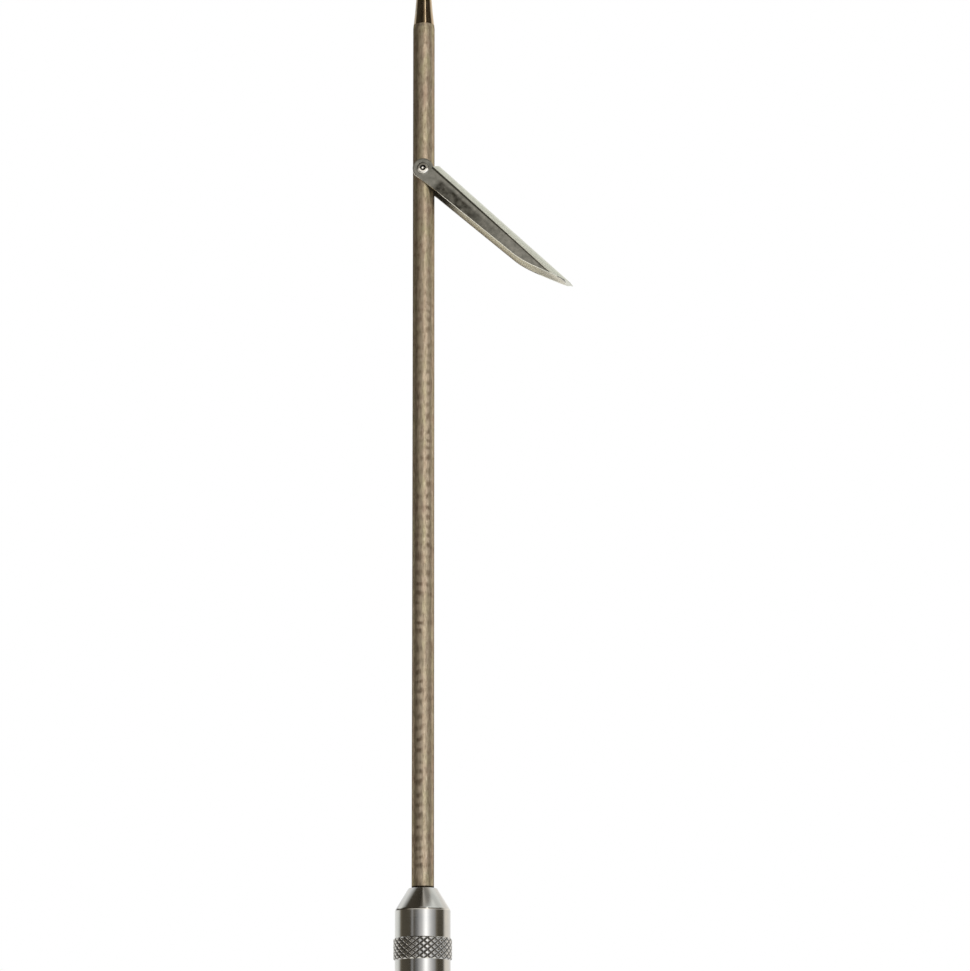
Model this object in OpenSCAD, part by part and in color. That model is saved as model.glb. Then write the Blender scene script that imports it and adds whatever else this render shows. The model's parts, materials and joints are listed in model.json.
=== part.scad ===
// Take-down pole spear: a screw-on point, a steel front shaft with one folding barb, a knurled
// adapter and a pole of two tubes. The spear stands on its butt with the point up. The barb
// swings out towards +X about a rivet that runs along Y, and is drawn part open.

/* [Point] */
// Length of the point from its seat on the shaft to its end
point_len = 35; // [28:1:50]
// Diameter of the point where it seats on the shaft
point_seat_d = 7.7; // [7:0.02:7.8]
// Diameter at the front of the short shoulder
point_shoulder_d = 6.64; // [6:0.02:6.9]
// Length of the short shoulder
point_shoulder_len = 4.9; // [1:0.1:6]
// Length of the three ground flats that meet at the end
point_flat_len = 11; // [8:0.5:14]
// Diameter of the cone where the flats begin
point_flat_d = 3.4; // [3:0.1:5]
// Diameter of the threaded stud of the point
point_stud_d = 5; // [4:0.5:6]
// Length of the threaded stud of the point
point_stud_len = 12; // [8:1:16]

/* [Front shaft] */
// Diameter of the shaft
shaft_d = 7.94; // [7:0.02:8.5]
// Length of the shaft between the point and the adapter
shaft_len = 320.5; // [200:0.5:450]
// Width of the long chamfer at the front of the shaft
shaft_front_chamfer = 0.15; // [0.1:0.01:0.3]
// Length of the long chamfer at the front of the shaft
shaft_front_chamfer_len = 1.4; // [0.5:0.1:2]
// Chamfer at the rear of the shaft, over the adapter
shaft_rear_chamfer = 0.3; // [0.2:0.05:0.8]
// Diameter of the threaded tail that screws into the adapter
shaft_tail_d = 6; // [5:0.5:6.5]
// Length of the threaded tail
shaft_tail_len = 20; // [12:1:26]

/* [Barb] */
// Distance from the seat of the point back to the rivet
rivet_from_seat = 56.6; // [40:0.1:120]
// Length of the barb from the rivet to its point
barb_len = 70; // [55:1:90]
// Thickness of the sheet that the barb is bent from
barb_sheet = 0.85; // [0.7:0.05:1.2]
// Gap between each cheek and the shaft
barb_gap = 0.17; // [0.15:0.01:0.5]
// Gap between the back of the folded barb and the shaft
barb_back_gap = 0.4; // [0.2:0.05:0.8]
// Inner radius of the two bends
barb_bend_r = 2.6; // [1:0.1:3]
// Radius of the ears round the rivet
barb_ear_r = 3.8; // [3.4:0.1:4.2]
// Distance from the rivet to the heel, where the back of the channel starts
barb_heel = 3.4; // [3:0.1:5]
// Depth of the cheeks below the rivet's centre line, at their front
cheek_front_depth = 3; // [2:0.1:3.3]
// Distance from the rivet to that deepest place
cheek_front_at = 9.4; // [8:0.1:14]
// Depth of the cheeks below the rivet's centre line, where the point cut starts
cheek_rear_depth = 1.35; // [0.5:0.05:1.7]
// Length of the slanting cut that sharpens the barb
point_cut_len = 24; // [20:1:30]
// Length over which the back of the barb narrows to its point
barb_taper_len = 5; // [3:0.5:12]
// Width of the blunt end of the barb's point
barb_end_w = 2; // [1:0.1:3]
// Angle between the back of the barb and the shaft, as drawn
barb_open_angle = 46.8; // [0:0.1:75]

/* [Rivet] */
// Diameter of the rivet
rivet_d = 3; // [2.5:0.1:3.4]
// Diameter of its heads
rivet_head_d = 4.4; // [4:0.1:5]
// Height of its heads
rivet_head_h = 0.9; // [0.7:0.05:1.2]
// Radius of the round edge of the heads
rivet_head_round = 0.5; // [0.3:0.05:0.6]
// Radius of the dish in the middle of the heads
rivet_dish_r = 1.1; // [0.8:0.1:1.3]
// Depth of the dish
rivet_dish_depth = 0.55; // [0.3:0.05:0.65]

/* [Adapter] */
// How far the adapter stands out from the pole, all round
adapter_step = 0.33; // [0:0.01:0.6]
// Length of the adapter from its shoulder to its nose
adapter_len = 46; // [40:1:60]
// Diameter of the flat nose
nose_d = 10.2; // [9.6:0.1:12]
// Length of the nose cone
nose_len = 7.7; // [6:0.1:11]
// Radius of the round edge behind the cone
nose_round = 2; // [1:0.1:3]
// Distance from the nose to the knurled band
knurl_from_nose = 17.6; // [14:0.1:20]

/* [Knurl] */
// Length of each knurled band
knurl_len = 7.8; // [6:0.1:10]
// Number of diamonds round the band
knurl_count = 23; // [18:1:40]
// Length of each diamond along the band
knurl_diamond = 2.08; // [1.4:0.02:2.6]
// How far the diamonds stand out of the grooves
knurl_depth = 0.45; // [0.3:0.05:0.7]

/* [Pole] */
// Diameter of the pole
pole_d = 19.05; // [18:0.05:22]
// Wall of the tubes
tube_wall = 1.5; // [1.2:0.1:1.8]
// Length of the front tube
front_tube_len = 378; // [250:1:700]
// Length of the rear tube
rear_tube_len = 378; // [250:1:900]
// Flange of the front socket, between the adapter and the tube
front_socket_flange = 6; // [4:0.5:12]
// Flange of the front tube's stud, between the tube and the coupling
stud_flange = 8; // [4:0.5:14]
// Flange of the rear socket, which carries a knurled band
rear_socket_flange = 18; // [16:0.5:28]
// Chamfer on the flanges and on the adapter's shoulder
flange_chamfer = 0.6; // [0.55:0.05:0.8]
// Length of the spigots that fit into the tubes
spigot_len = 30; // [26:1:40]

/* [Screw couplings] */
// Outer diameter of the coupling thread
thread_d = 12; // [10:0.5:13]
// Length of the threaded studs from their shoulder
stud_len = 16; // [14:0.5:20]
// Depth of the threaded sockets
socket_depth = 18; // [17:0.5:22]
// Diameter of the neck between the shoulder and the thread
neck_d = 10; // [8.5:0.5:10.5]
// Length of that neck
neck_len = 3; // [2.6:0.1:4]
// Thickness of the O-rings at the couplings
coupling_ring_t = 2; // [1.6:0.1:2.2]

/* [Pins and seals] */
// Diameter of the spring pins through the tubes
pin_d = 3; // [2:0.1:3.4]
// Bore of the spring pins
pin_bore_d = 1.8; // [1:0.1:1.9]
// Width of the slot along the spring pins
pin_slot = 0.6; // [0.3:0.1:0.9]
// Distance from each flange to the pin
pin_from_flange = 16; // [15:0.5:18]
// Distance from each flange to the seal
seal_from_flange = 25; // [23:0.5:27]
// Thickness of the O-rings inside the tubes
seal_t = 1.9; // [1.5:0.1:2.2]

/* [Butt] */
// Length of the butt plug behind the tube
butt_len = 30; // [24:1:45]
// Radius of the round edge at the end of the butt
butt_round = 2.5; // [1:0.1:4]
// Distance from the end of the butt to the centre of the sling hole
sling_hole_at = 13; // [11:0.5:16]
// Diameter of the sling hole
sling_hole_d = 7; // [5:0.5:8]
// Wall of the bush in the sling hole
bush_wall = 1; // [0.8:0.1:1.5]

/* [Clearances] */
// Gap between pieces that are fixed in one another
fixed_gap = 0.03; // [0.02:0.01:0.06]
// Gap between a thread and its socket, and round the coupling rings
thread_gap = 0.05; // [0.03:0.01:0.08]
// Gap between the barb and its rivet
pivot_gap = 0.06; // [0.03:0.01:0.1]
// Gap between the barb's ears and the rivet's heads
head_gap = 0.05; // [0.03:0.01:0.1]

/* [Hidden] */
$fn = 96;

// Radii
shaft_r = shaft_d / 2;
pole_r = pole_d / 2;
adapter_r = pole_r + adapter_step;
tube_bore_r = pole_r - tube_wall;
spigot_r = tube_bore_r - fixed_gap;
socket_r = thread_d / 2;
stud_r = socket_r - thread_gap;
neck_r = neck_d / 2;

// Stations along the spear, from the butt up
rear_tube_z = butt_len;
rear_flange_z = rear_tube_z + rear_tube_len;
coupling_z = rear_flange_z + rear_socket_flange;
front_tube_z = coupling_z + stud_flange;
front_flange_z = front_tube_z + front_tube_len;
shoulder_z = front_flange_z + front_socket_flange;
nose_z = shoulder_z + adapter_len;
seat_z = nose_z + shaft_len;
rivet_z = seat_z - rivet_from_seat;
echo(overall_length = seat_z + point_len, rivet_height = rivet_z);

// The barb's channel, measured from the rivet's axis: x runs back along the barb, y runs out
// from the shaft, and z runs along the rivet
back_in = shaft_r + barb_back_gap;
back_out = back_in + barb_sheet;
cheek_in = shaft_r + barb_gap;
cheek_out = cheek_in + barb_sheet;
bend_out = barb_bend_r + barb_sheet;
bend_y = back_in - barb_bend_r;
bend_z = cheek_in - barb_bend_r;
cut_at = barb_len - point_cut_len;
heel_foot_angle = 52;
bend_from = barb_ear_r * cos(heel_foot_angle) - 0.15;

// Coupling rings lie round the neck, in a recess in the socket's mouth
coupling_ring_r = neck_r + thread_gap + coupling_ring_t / 2;
ring_recess_r = coupling_ring_r + coupling_ring_t / 2 + 2 * thread_gap;
ring_recess_depth = coupling_ring_t + 3 * thread_gap;

// Tube seals lie in a groove near the end of each spigot and touch the tube's bore
seal_r = tube_bore_r - fixed_gap - seal_t / 2;
seal_groove_r = seal_r - seal_t / 2 - fixed_gap;
seal_groove_w = seal_t * 1.25;
spigot_chamfer = 0.8;

// Points of a round arc in the plane
function arc(cx, cy, r, from, to, steps) =
    [for (i = [0:steps]) let (a = from + (to - from) * i / steps)
        [cx + r * cos(a), cy + r * sin(a)]];

// Points of a cubic curve through its ends a and d, led by b and c
function curve(a, b, c, d, steps) =
    [for (i = [0:steps]) let (t = i / steps, u = 1 - t)
        u * u * u * a + 3 * u * u * t * b + 3 * u * t * t * c + t * t * t * d];

// Diamond knurl as one closed drum. Its grid has four columns and four rows to a diamond. A corner
// is a diamond's top (2), a place on the shoulder round that top (1) or a place in a groove (0).
knurl_root = 0.05;
knurl_shoulder = 0.87;
knurl_cols = 4 * knurl_count;
knurl_rows = max(8, round(4 * knurl_len / knurl_diamond));

function knurl_kind(row, col) =
    (row + col) % 2 == 1 ? 1 : row % 2 == 0 && (row + col) % 4 == 0 ? 2 : 0;

// How far a corner of the grid lies over the body, with both rims of the band cut down to the grooves
function knurl_rise(row, col) =
    knurl_root + (row == 0 || row == knurl_rows ? 0
        : knurl_depth * [0, knurl_shoulder, 1][knurl_kind(row, col)]);

function knurl_corner(body_r, row, col) =
    let (a = 360 * col / knurl_cols, r = body_r + knurl_rise(row, col))
        [r * cos(a), r * sin(a), knurl_len * row / knurl_rows];

// A square that touches a top is split along the shoulder, any other along its groove
function knurl_split_bd(row, col) =
    let (touches_top = max([for (i = [0, 1], k = [0, 1]) knurl_kind(row + i, col + k)]) == 2)
        touches_top == ((row + col) % 2 == 0);

module knurl_drum(body_r) {
    corners = [for (row = [0:knurl_rows], col = [0:knurl_cols - 1])
        knurl_corner(body_r, row, col)];
    top = knurl_rows * knurl_cols;
    squares = [for (row = [0:knurl_rows - 1], col = [0:knurl_cols - 1])
        let (next = (col + 1) % knurl_cols, a = row * knurl_cols + col,
            b = row * knurl_cols + next, c = b + knurl_cols, d = a + knurl_cols)
            each knurl_split_bd(row, col) ? [[a, d, b], [d, c, b]] : [[a, d, c], [a, c, b]]];
    floor_face = [for (col = [0:knurl_cols - 1]) col];
    top_face = [for (col = [knurl_cols - 1:-1:0]) top + col];
    polyhedron(points = corners, faces = concat(squares, [floor_face, top_face]), convexity = 4);
}

// Turned stud that hangs from z = 0: a neck for the O-ring, then the thread
module coupling_stud() {
    rotate_extrude() polygon([[0, 0], [neck_r, 0], [neck_r, -neck_len],
        [stud_r, -neck_len - (stud_r - neck_r)], [stud_r, -stud_len + 1],
        [stud_r - 1, -stud_len], [0, -stud_len]]);
}

// The hole that takes such a stud, from its mouth at z = 0 downwards
module coupling_hole() {
    translate([0, 0, -socket_depth]) cylinder(h = socket_depth + 1, r = socket_r);
    translate([0, 0, -ring_recess_depth]) cylinder(h = ring_recess_depth + 1, r = ring_recess_r);
}

// Flange of the pole's own diameter, from z = 0 up, with both edges chamfered
module flange(len) {
    c = flange_chamfer;
    rotate_extrude() polygon([[0, 0], [pole_r - c, 0], [pole_r, c], [pole_r, len - c],
        [pole_r - c, len], [0, len]]);
}

// Spigot that fits into a tube, from its flange at z = 0 up, with its seal groove and pin hole
module spigot() {
    groove = seal_from_flange - seal_groove_w / 2;
    difference() {
        rotate_extrude() polygon([[0, 0], [spigot_r, 0], [spigot_r, groove],
            [seal_groove_r, groove], [seal_groove_r, groove + seal_groove_w],
            [spigot_r, groove + seal_groove_w], [spigot_r, spigot_len - spigot_chamfer],
            [spigot_r - spigot_chamfer, spigot_len], [0, spigot_len]]);
        pin_hole(pin_from_flange);
    }
}

// Hole for a spring pin, across the pole
module pin_hole(z) {
    translate([0, 0, z]) rotate([0, 90, 0])
        cylinder(h = pole_d + 2, r = pin_d / 2 + fixed_gap, center = true);
}

// Slotted spring pin across the pole, its ends just under the tube's face
module spring_pin(z) {
    len = 2 * sqrt(pow(pole_r, 2) - pow(pin_d / 2, 2)) - 2 * fixed_gap;
    translate([0, 0, z]) rotate([0, 90, 0]) difference() {
        cylinder(h = len, d = pin_d, center = true, $fn = 48);
        cylinder(h = len + 1, d = pin_bore_d, center = true, $fn = 48);
        translate([pin_d / 2, 0, 0]) cube([pin_d, pin_slot, len + 1], center = true);
    }
}

// O-ring of section t on a circle of radius r
module o_ring(r, t, z) {
    translate([0, 0, z]) rotate_extrude() translate([r, 0]) circle(d = t, $fn = 32);
}

// Tube of the pole between two stations, drilled for the pins of its two spigots
module pole_tube(z, len) {
    difference() {
        translate([0, 0, z]) cylinder(h = len, r = pole_r);
        translate([0, 0, z - 1]) cylinder(h = len + 2, r = tube_bore_r);
        pin_hole(z + pin_from_flange);
        pin_hole(z + len - pin_from_flange);
    }
}

// Screw-on point: shoulder, long cone and three ground flats
module spear_point() {
    seat_r = point_seat_d / 2;
    shoulder_r = point_shoulder_d / 2;
    flat_r = point_flat_d / 2;
    flat_z = point_len - point_flat_len;
    // The flats lean in so that they meet on the axis at the end
    lean = atan(flat_r / point_flat_len);
    color("#4a3b2c") translate([0, 0, seat_z]) union() {
        difference() {
            rotate_extrude() polygon([[0, 0], [seat_r, 0], [shoulder_r, point_shoulder_len],
                [flat_r, flat_z], [flat_r, point_len], [0, point_len]]);
            for (turn = [0:120:240]) rotate([0, 0, turn + 30]) translate([0, 0, point_len])
                rotate([0, -lean, 0]) translate([0, -shaft_d, -point_len])
                    cube([shaft_d, 2 * shaft_d, 2 * point_len]);
        }
        translate([0, 0, -point_stud_len]) cylinder(h = point_stud_len, d = point_stud_d - 2 * fixed_gap);
    }
}

// Front shaft: tapped for the point, cross-drilled for the rivet, with a threaded tail
module front_shaft() {
    front_r = shaft_r - shaft_front_chamfer;
    rear_r = shaft_r - shaft_rear_chamfer;
    tail_r = shaft_tail_d / 2 - fixed_gap;
    color("#9a8a6c") difference() {
        union() {
            translate([0, 0, nose_z]) rotate_extrude() polygon([[0, 0], [rear_r, 0],
                [shaft_r, shaft_rear_chamfer], [shaft_r, shaft_len - shaft_front_chamfer_len],
                [front_r, shaft_len], [0, shaft_len]]);
            translate([0, 0, nose_z - shaft_tail_len]) cylinder(h = shaft_tail_len + 1, r = tail_r);
        }
        translate([0, 0, seat_z - point_stud_len - 1])
            cylinder(h = point_stud_len + 2, d = point_stud_d);
        translate([0, 0, rivet_z]) rotate([90, 0, 0])
            cylinder(h = shaft_d + 2, d = rivet_d + 2 * fixed_gap, center = true);
    }
}

// Cross-section of the barb's channel: a narrow flat back, two wide round bends and two cheeks
module channel_section() {
    deep = barb_ear_r + 1;
    outer = concat([[-deep, -cheek_out]], arc(bend_y, -bend_z, bend_out, -90, 0, 14),
        arc(bend_y, bend_z, bend_out, 0, 90, 14), [[-deep, cheek_out]]);
    inner = concat([[-deep, cheek_in]], arc(bend_y, bend_z, barb_bend_r, 90, 0, 14),
        arc(bend_y, -bend_z, barb_bend_r, 0, -90, 14), [[-deep, -cheek_in]]);
    polygon(concat(outer, inner));
}

// Side view of the barb: a round ear, a steep heel, a shallow cheek and a slanting quill cut that
// rises to the back
module barb_side() {
    reach = norm([cheek_front_at, cheek_front_depth]);
    swing = -atan2(cheek_front_depth, cheek_front_at) - acos(barb_ear_r / reach);
    tangent = barb_ear_r * [cos(swing), sin(swing)];
    heel_foot = barb_ear_r * [cos(heel_foot_angle), sin(heel_foot_angle)];
    cut = curve([cut_at, -cheek_rear_depth], [cut_at + point_cut_len * 0.3, 0.2 - cheek_rear_depth],
        [cut_at + point_cut_len * 0.6, back_out / 2], [barb_len, back_out - 0.05], 18);
    circle(r = barb_ear_r);
    polygon(concat([[0, 0], tangent, [cheek_front_at, -cheek_front_depth]], cut,
        [[barb_len, back_out + 1], [barb_heel, back_out + 1], [barb_heel, back_out], heel_foot]));
}

// Plan view of the barb: parallel sides that draw in to a narrow, round point
module barb_plan() {
    start = barb_len - barb_taper_len;
    half = cheek_out + 0.5;
    tip = barb_end_w / 2;
    side = curve([start, half], [start + barb_taper_len * 0.4, half * 0.86],
        [start + barb_taper_len * 0.75, half * 0.48], [barb_len - tip, tip], 10);
    nose = arc(barb_len - tip, 0, tip, 60, -60, 6);
    polygon(concat([[-barb_ear_r - 1, half]], side, nose,
        [for (i = [len(side) - 1:-1:0]) [side[i].x, -side[i].y]], [[-barb_ear_r - 1, -half]]));
}

// Folding barb, bent from sheet: the channel behind the heel and two flat ears round the rivet
module flopper_barb() {
    color("#8f928c") translate([0, 0, rivet_z]) rotate([0, -barb_open_angle, 0])
        rotate([0, 90, -90]) difference() {
            intersection() {
                union() {
                    translate([bend_from, 0, 0]) rotate([90, 0, 90])
                        linear_extrude(barb_len) channel_section();
                    for (side = [-1, 1]) translate([0, 0, side * (cheek_in + barb_sheet / 2)])
                        linear_extrude(barb_sheet, center = true) ear_blank();
                }
                linear_extrude(4 * cheek_out, center = true) barb_side();
                rotate([90, 0, 0]) linear_extrude(4 * back_out, center = true) barb_plan();
            }
            cylinder(h = 4 * cheek_out, r = rivet_d / 2 + pivot_gap, center = true);
        }
}

// Flat blank of one ear: its round, as far as the bend, and a stretch of flat cheek below the bend
module ear_blank() {
    difference() {
        circle(r = barb_ear_r);
        translate([bend_from, bend_y]) square(barb_ear_r);
    }
    translate([0, -barb_ear_r]) square([bend_from + 1, barb_ear_r + bend_y]);
}

// Rivet through both ears and the shaft, with round-edged heads dished in the middle
module barb_rivet() {
    under = cheek_out + head_gap;
    head_r = rivet_head_d / 2;
    dish_ball = (pow(rivet_dish_r, 2) + pow(rivet_dish_depth, 2)) / (2 * rivet_dish_depth);
    color("#6f716d") translate([0, 0, rivet_z]) union() {
        rotate([90, 0, 0]) cylinder(h = 2 * under + 0.1, d = rivet_d, center = true);
        for (turn = [90, -90]) rotate([turn, 0, 0]) translate([0, 0, under]) difference() {
            rotate_extrude() polygon(concat([[0, 0], [head_r, 0]],
                arc(head_r - rivet_head_round, rivet_head_h - rivet_head_round,
                    rivet_head_round, 0, 90, 6), [[0, rivet_head_h]]));
            translate([0, 0, rivet_head_h + dish_ball - rivet_dish_depth]) sphere(r = dish_ball);
        }
    }
}

// Turned adapter: nose cone, body, knurled band and the stud that screws into the pole
module shaft_adapter() {
    nose_r = nose_d / 2;
    edge_z = adapter_len - nose_len;
    lean = atan((adapter_r - nose_r) / nose_len);
    c = flange_chamfer;
    color("#b9bab6") translate([0, 0, shoulder_z]) difference() {
        union() {
            rotate_extrude() polygon(concat([[0, 0], [adapter_r - c, 0], [adapter_r, c]],
                arc(adapter_r - nose_round, edge_z - nose_round * tan(lean / 2), nose_round,
                    0, lean, 6), [[nose_r, adapter_len], [0, adapter_len]]));
            translate([0, 0, adapter_len - knurl_from_nose - knurl_len]) knurl_drum(adapter_r);
            coupling_stud();
        }
        translate([0, 0, adapter_len - shaft_tail_len - 1])
            cylinder(h = shaft_tail_len + 2, d = shaft_tail_d);
    }
}

module adapter_o_ring() {
    color("#1c1c1c") o_ring(coupling_ring_r, coupling_ring_t,
        shoulder_z - thread_gap - coupling_ring_t / 2);
}

// Plain threaded socket in the top of the front tube
module front_tube_socket() {
    color("#b9bab6") difference() {
        union() {
            translate([0, 0, front_flange_z]) flange(front_socket_flange);
            translate([0, 0, front_flange_z]) mirror([0, 0, 1]) spigot();
        }
        translate([0, 0, shoulder_z]) coupling_hole();
    }
}

module front_tube() {
    color("#c9cbcc") pole_tube(front_tube_z, front_tube_len);
}

// Threaded stud in the bottom of the front tube
module front_tube_stud() {
    color("#b9bab6") union() {
        translate([0, 0, coupling_z]) flange(stud_flange);
        translate([0, 0, front_tube_z]) spigot();
        translate([0, 0, coupling_z]) coupling_stud();
    }
}

module front_tube_pins() {
    color("#a9aaa7") for (z = [front_tube_z + pin_from_flange, front_flange_z - pin_from_flange])
        spring_pin(z);
}

module front_tube_seals() {
    color("#1c1c1c") for (z = [front_tube_z + seal_from_flange, front_flange_z - seal_from_flange])
        o_ring(seal_r, seal_t, z);
}

module coupling_o_ring() {
    color("#1c1c1c") o_ring(coupling_ring_r, coupling_ring_t,
        coupling_z - thread_gap - coupling_ring_t / 2);
}

// Knurled threaded socket in the top of the rear tube
module rear_tube_socket() {
    color("#b9bab6") difference() {
        union() {
            translate([0, 0, rear_flange_z]) flange(rear_socket_flange);
            translate([0, 0, rear_flange_z + (rear_socket_flange - knurl_len) / 2])
                knurl_drum(pole_r);
            translate([0, 0, rear_flange_z]) mirror([0, 0, 1]) spigot();
        }
        translate([0, 0, coupling_z]) coupling_hole();
    }
}

module rear_tube() {
    color("#c9cbcc") pole_tube(rear_tube_z, rear_tube_len);
}

module rear_tube_pins() {
    color("#a9aaa7") for (z = [rear_tube_z + pin_from_flange, rear_flange_z - pin_from_flange])
        spring_pin(z);
}

module rear_tube_seals() {
    color("#1c1c1c") for (z = [rear_tube_z + seal_from_flange, rear_flange_z - seal_from_flange])
        o_ring(seal_r, seal_t, z);
}

// Butt plug with a round edge and a cross hole for the sling's bush
module butt_plug() {
    color("#26282a") difference() {
        union() {
            rotate_extrude() polygon(concat([[0, 0]],
                arc(pole_r - butt_round, butt_round, butt_round, -90, 0, 8),
                [[pole_r, butt_len - flange_chamfer], [pole_r - flange_chamfer, butt_len],
                [0, butt_len]]));
            translate([0, 0, butt_len]) spigot();
        }
        translate([0, 0, sling_hole_at]) rotate([90, 0, 0])
            cylinder(h = pole_d + 2, d = sling_hole_d + 2 * bush_wall + 2 * fixed_gap, center = true);
    }
}

// Bush that lines the sling hole, trimmed to the round of the plug
module sling_bush() {
    color("#a9aaa7") intersection() {
        translate([0, 0, sling_hole_at]) rotate([90, 0, 0]) difference() {
            cylinder(h = pole_d, d = sling_hole_d + 2 * bush_wall, center = true);
            cylinder(h = pole_d + 2, d = sling_hole_d, center = true);
        }
        cylinder(h = butt_len, r = pole_r - fixed_gap);
    }
}

spear_point();
front_shaft();
flopper_barb();
barb_rivet();
shaft_adapter();
adapter_o_ring();
front_tube_socket();
front_tube();
front_tube_stud();
front_tube_pins();
front_tube_seals();
coupling_o_ring();
rear_tube_socket();
rear_tube();
rear_tube_pins();
rear_tube_seals();
butt_plug();
sling_bush();
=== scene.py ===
# %% [markdown]
# # A take-down pole spear
#
# The spear stands on its butt with the point up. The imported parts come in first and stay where
# they are: this file gives them their finishes, and makes again, more finely, the few pieces whose
# small detail shows, such as the knurled adapter, the bent barb and its rivet.

# %% Load the spear
import math

import bmesh
import bpy
from mathutils import Matrix, Vector
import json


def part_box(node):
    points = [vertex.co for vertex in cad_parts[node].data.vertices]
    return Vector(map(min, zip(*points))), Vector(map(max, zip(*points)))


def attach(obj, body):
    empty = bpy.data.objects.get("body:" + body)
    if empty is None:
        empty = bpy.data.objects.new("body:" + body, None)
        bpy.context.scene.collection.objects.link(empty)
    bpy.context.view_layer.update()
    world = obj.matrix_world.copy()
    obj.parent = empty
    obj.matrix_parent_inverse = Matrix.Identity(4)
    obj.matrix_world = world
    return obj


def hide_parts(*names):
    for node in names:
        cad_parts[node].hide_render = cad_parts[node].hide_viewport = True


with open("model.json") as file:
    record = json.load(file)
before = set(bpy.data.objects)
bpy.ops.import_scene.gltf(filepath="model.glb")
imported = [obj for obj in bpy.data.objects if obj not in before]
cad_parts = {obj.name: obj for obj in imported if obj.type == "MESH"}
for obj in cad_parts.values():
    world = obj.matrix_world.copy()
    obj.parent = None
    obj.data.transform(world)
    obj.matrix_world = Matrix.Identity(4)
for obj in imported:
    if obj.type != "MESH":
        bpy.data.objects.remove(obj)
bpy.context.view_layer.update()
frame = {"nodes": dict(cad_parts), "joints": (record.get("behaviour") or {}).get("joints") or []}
NODES = frame["nodes"]
MM = 0.001

# %% [markdown]
# Each height along the spear is read from the parts themselves, so a piece made here lies exactly
# where the part it stands for lies. The joints know their own places: the two screw couplings turn
# at their shoulders, and the barb at its rivet. The adapter stands a third of a millimetre proud
# of the pole, and the barb is drawn 46.8 degrees open.

# %% Heights along the spear
JOINTS = {joint["name"]: joint for joint in frame["joints"]}
COUPLING_Z = JOINTS["coupling_turn"]["pos_m"][2] / MM
SHOULDER_Z = JOINTS["adapter_turn"]["pos_m"][2] / MM
RIVET_Z = JOINTS["barb_pivot"]["pos_m"][2] / MM
NOSE_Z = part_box("shaft_adapter")[1].z / MM
POLE_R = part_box("rear_tube")[1].x / MM
ADAPTER_R = POLE_R + 0.33
BARB_ANGLE = math.radians(46.8)
print("coupling", COUPLING_Z, "shoulder", SHOULDER_Z, "nose", round(NOSE_Z, 2), "rivet", RIVET_Z)

# %% [markdown]
# The picture was taken with a long lens from below: the lines of the spear hardly draw together,
# and the rings of the adapter open upwards like the rim of a glass held over the eye. The camera
# stands 1.4 m in front of the spear, tilts up by 12 degrees and shows only the front 36 cm. The
# spear is turned by 2 degrees, which the camera takes on so that the parts stay in their own frame.

# %% The camera
CAMERA_AT = Vector((0.06985, -1.36148, 0.71091))
CAMERA_TURN = math.radians(2)
CAMERA_TILT = math.radians(12.368)
CAMERA_ROLL = math.radians(-0.125)
camera_data = bpy.data.cameras.new("camera")
camera_data.sensor_fit = "HORIZONTAL"
camera_data.sensor_width = 36
camera_data.lens = 143.29
camera = bpy.data.objects.new("camera", camera_data)
bpy.context.scene.collection.objects.link(camera)
camera.matrix_world = (
    Matrix.Translation(CAMERA_AT)
    @ Matrix.Rotation(CAMERA_TURN, 4, "Z")
    @ Matrix.Rotation(math.pi / 2 + CAMERA_TILT, 4, "X")
    @ Matrix.Rotation(CAMERA_ROLL, 4, "Z")
)
bpy.context.scene.camera = camera
bpy.context.scene.view_settings.view_transform = "Standard"
print("camera at", [round(x, 3) for x in camera.matrix_world.translation])

# %% [markdown]
# A shader is a net of nodes, and most nets here use the same few steps. These helpers keep them
# short: `add` makes one node and wires what it is given, `product` and `spread` work on amounts,
# and `shades` and `blend` on colours.

# %% Helpers for shader nets
def add(tree, kind, inputs=None, **settings):
    """Adds a node, sets its settings, and fills or wires its inputs."""
    node = tree.nodes.new(kind)
    for name, value in settings.items():
        setattr(node, name, value)
    for name, value in (inputs or {}).items():
        if isinstance(value, bpy.types.NodeSocket):
            tree.links.new(value, node.inputs[name])
        else:
            node.inputs[name].default_value = value
    return node


def product(tree, first, *others):
    """Multiplies the amounts."""
    for other in others:
        first = add(tree, "ShaderNodeMath", {0: first, 1: other}, operation="MULTIPLY").outputs[0]
    return first


def shades(tree, amount, stops):
    """Turns an amount into a colour, from (place, colour) stops."""
    ramp = add(tree, "ShaderNodeValToRGB", {"Fac": amount})
    places = ramp.color_ramp.elements
    while len(places) < len(stops):
        places.new(1.0)
    for element, (where, colour) in zip(places, sorted(stops)):
        element.position = where
        element.color = (*colour, 1)
    return ramp.outputs["Color"]


def blend(tree, amount, first, second):
    """Mixes two colours, from the first at 0 to the second at 1."""
    return add(tree, "ShaderNodeMix", {0: amount, 6: first, 7: second}, data_type="RGBA").outputs[2]


def spread(tree, amount, low, high, start=0.3, end=0.7):
    """Maps an amount between start and end to a number between low and high."""
    places = {"Value": amount, "From Min": start, "From Max": end, "To Min": low, "To Max": high}
    return add(tree, "ShaderNodeMapRange", places).outputs["Result"]


# %% [markdown]
# The light is a plain product-shot studio: a white background behind the spear, dark brown cards
# on both sides of the lens, and a soft box in front, a little to the right. Polished steel is a
# mirror, so it shows those cards and the box as long bands, and that is most of how it looks. They
# could be modelled one by one, but a sky that only glossy rays see is simpler. Each ring is the
# studio all round at one height: the angle to the right of the lens in degrees, the strength, and
# the colour of what stands there.
#
# The camera looks up at the spear, so a ray that an upright wall mirrors goes on rising: by 5
# degrees at the adapter, by 20 at the point, and by more where a cone leans back. `RINGS` says
# between which two heights, in degrees, each ring takes over from the one before it.

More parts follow.
